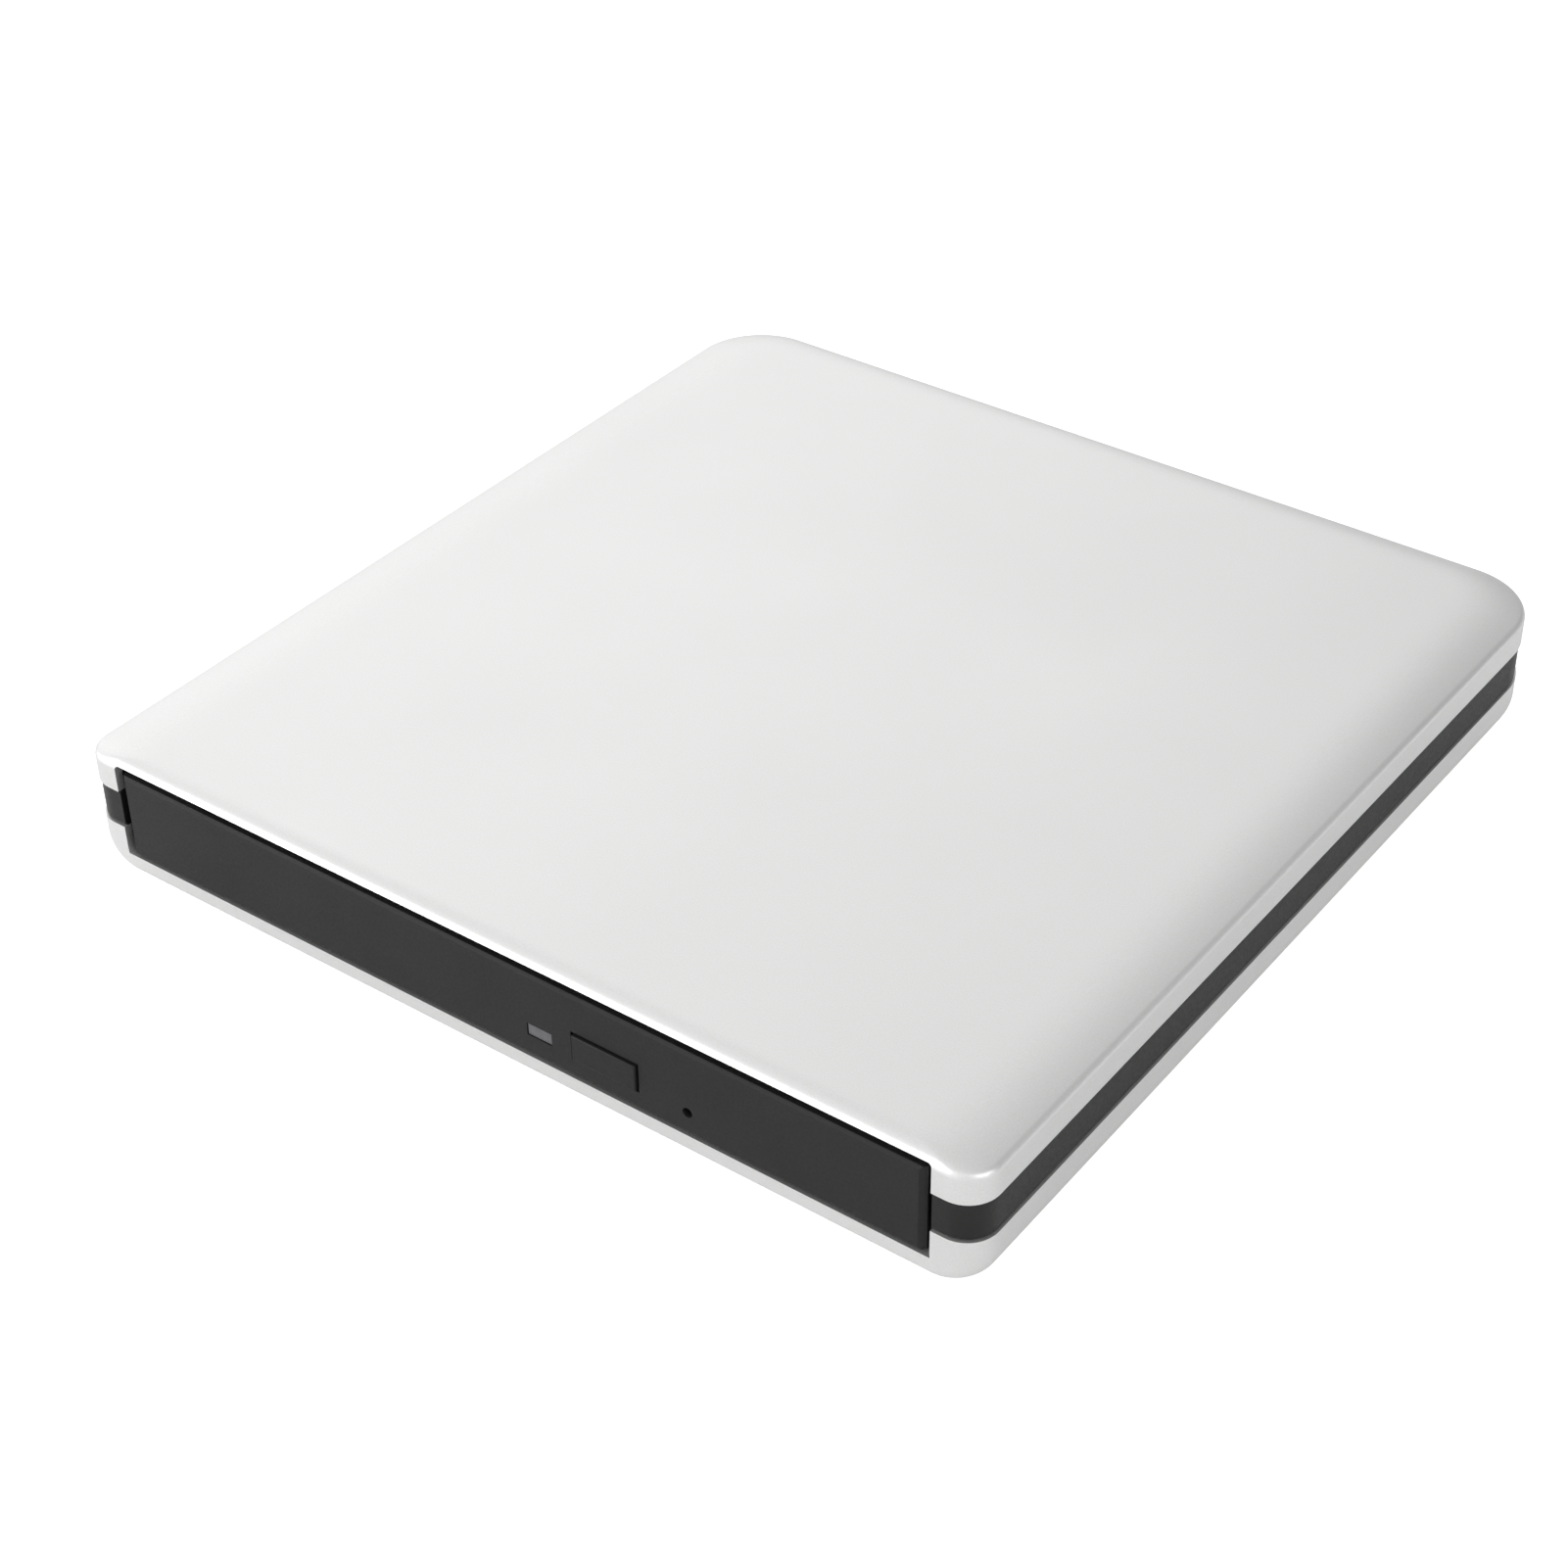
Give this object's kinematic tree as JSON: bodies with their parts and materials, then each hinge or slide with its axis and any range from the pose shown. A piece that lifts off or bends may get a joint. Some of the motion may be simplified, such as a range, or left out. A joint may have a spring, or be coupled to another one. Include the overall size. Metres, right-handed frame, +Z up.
{
  "type": "external disc drive",
  "caption": "Slim external optical disc drive: silver shells round a black band, and a sliding disc tray behind a black bezel with a status window, eject button and pin hole",
  "frame": {"origin": "middle of the case's footprint, on the surface that the feet stand on", "axes": "+X to the right seen from the front, +Y to the rear, +Z up; the tray slides out to -Y"},
  "size_m": [0.1424, 0.1474, 0.02],
  "materials": {
    "shell": "fine bead-blasted silver, satin",
    "band": "black moulded plastic, satin",
    "foot": "soft black",
    "screw": "plated steel",
    "board": "green solder mask",
    "chip": "black epoxy",
    "plated": "bright plated or ground steel",
    "connector": "black",
    "sheet_steel": "zinc-plated sheet",
    "frame_steel": "dark coated",
    "guide": "natural acetal, smooth",
    "rail": "smooth, lightly greased",
    "film": "amber film",
    "tray": "black moulded plastic, fine texture",
    "bezel": "black moulded plastic, satin",
    "window": "smoked translucent",
    "copper": "enamelled copper wire",
    "damper": "grey elastomer",
    "bronze": "sintered or drawn bronze",
    "magnet": "dark sintered",
    "hub": "black moulded plastic",
    "pickup": "die-cast, matt",
    "lens": "clear, coated"
  },
  "bodies": {
    "housing": {"top_cover": "shell", "bottom_cover": "shell", "middle_frame": "band", "rubber_feet": "foot", "case_screws": "screw", "bridge_board": "board", "bridge_chips": "chip", "small_screws": "screw", "usb_socket": "plated", "usb_tongue": "connector", "sata_socket": "connector", "drive_bracket": "sheet_steel", "chassis": "sheet_steel", "chassis_top_plate": "sheet_steel", "rail_guide_left": "guide", "rail_guide_right": "guide", "rear_board": "board", "sata_plug": "connector", "flex_cable": "film"},
    "rails": {"rail_left": "rail", "rail_right": "rail"},
    "tray": {"tray": "tray", "front_bezel": "bezel", "status_window": "window", "tray_bottom_plate": "sheet_steel", "tray_screws": "screw", "main_board": "board", "main_chips": "chip", "button_switch": "chip", "latch_pivot": "plated", "solenoid_coil": "copper", "ejector_spring": "plated", "traverse_frame": "frame_steel", "traverse_dampers": "damper", "traverse_cover": "sheet_steel", "guide_rods": "plated", "spindle_base": "sheet_steel", "spindle_stator": "copper", "spindle_bearing": "bronze", "sled_motor": "sheet_steel"},
    "button": {"eject_button": "bezel", "switch_stem": "guide"},
    "latch": {"latch_lever": "guide"},
    "plunger": {"solenoid_plunger": "plated"},
    "ejector": {"ejector_rod": "guide"},
    "spindle": {"spindle_shaft": "plated", "rotor_cup": "plated", "rotor_magnet": "magnet", "turntable": "hub", "disc_pad": "damper", "hub": "hub"},
    "sled": {"pickup_base": "pickup", "laser_diodes": "plated", "actuator_yoke": "plated", "actuator_magnets": "magnet", "drive_nut": "guide", "suspension_wires": "bronze"},
    "lens": {"lens_holder": "chip", "objective_lenses": "lens"},
    "screw": {"lead_screw": "plated"}
  },
  "joints": [
    {"name": "tray_slide", "type": "slide", "parent": "housing", "child": "tray", "axis": [0, -1, 0], "range_m": [0, 0.127], "deforming": ["flex_cable"]},
    {"name": "rail_slide", "type": "slide", "parent": "housing", "child": "rails", "axis": [0, -1, 0], "range_m": [0, 0.0636]},
    {"name": "button_press", "type": "slide", "parent": "tray", "child": "button", "axis": [0, 1, 0], "range_m": [0, 0.0006], "stiffness_N_per_m": 800},
    {"name": "latch_turn", "type": "hinge", "parent": "tray", "child": "latch", "pos_m": [0.051, -0.0495, 0.0081], "axis": [0, 0, 1], "range_deg": [0, 15]},
    {"name": "plunger_slide", "type": "slide", "parent": "tray", "child": "plunger", "axis": [0, -1, 0], "range_m": [0, 0.0018]},
    {"name": "ejector_slide", "type": "slide", "parent": "tray", "child": "ejector", "axis": [0, 1, 0], "range_m": [0, 0.0081], "deforming": ["ejector_spring"]},
    {"name": "spindle_spin", "type": "hinge", "parent": "tray", "child": "spindle", "pos_m": [0, -0.008, 0.012], "axis": [0, 0, 1], "continuous": true},
    {"name": "sled_slide", "type": "slide", "parent": "tray", "child": "sled", "axis": [-0.7071, -0.7071, 0], "range_m": [0, 0.0345]},
    {"name": "lead_screw_spin", "type": "hinge", "parent": "tray", "child": "screw", "pos_m": [0.01414, -0.02214, 0.009], "axis": [-0.7071, -0.7071, 0], "range_deg": [0, 4150]},
    {"name": "lens_focus", "type": "slide", "parent": "sled", "child": "lens", "axis": [0, 0, 1], "range_m": [-0.0004, 0.0004], "stiffness_N_per_m": 60, "deforming": ["suspension_wires"]}
  ],
  "couplings": [
    {"joint": "rail_slide", "follows": "tray_slide", "ratio": 0.5},
    {"joint": "ejector_slide", "follows": "tray_slide", "ratio": 0.063},
    {"joint": "plunger_slide", "follows": "latch_turn", "m_per_rad": 0.0065},
    {"joint": "lead_screw_spin", "follows": "sled_slide", "rad_per_m": 2094.4}
  ]
}
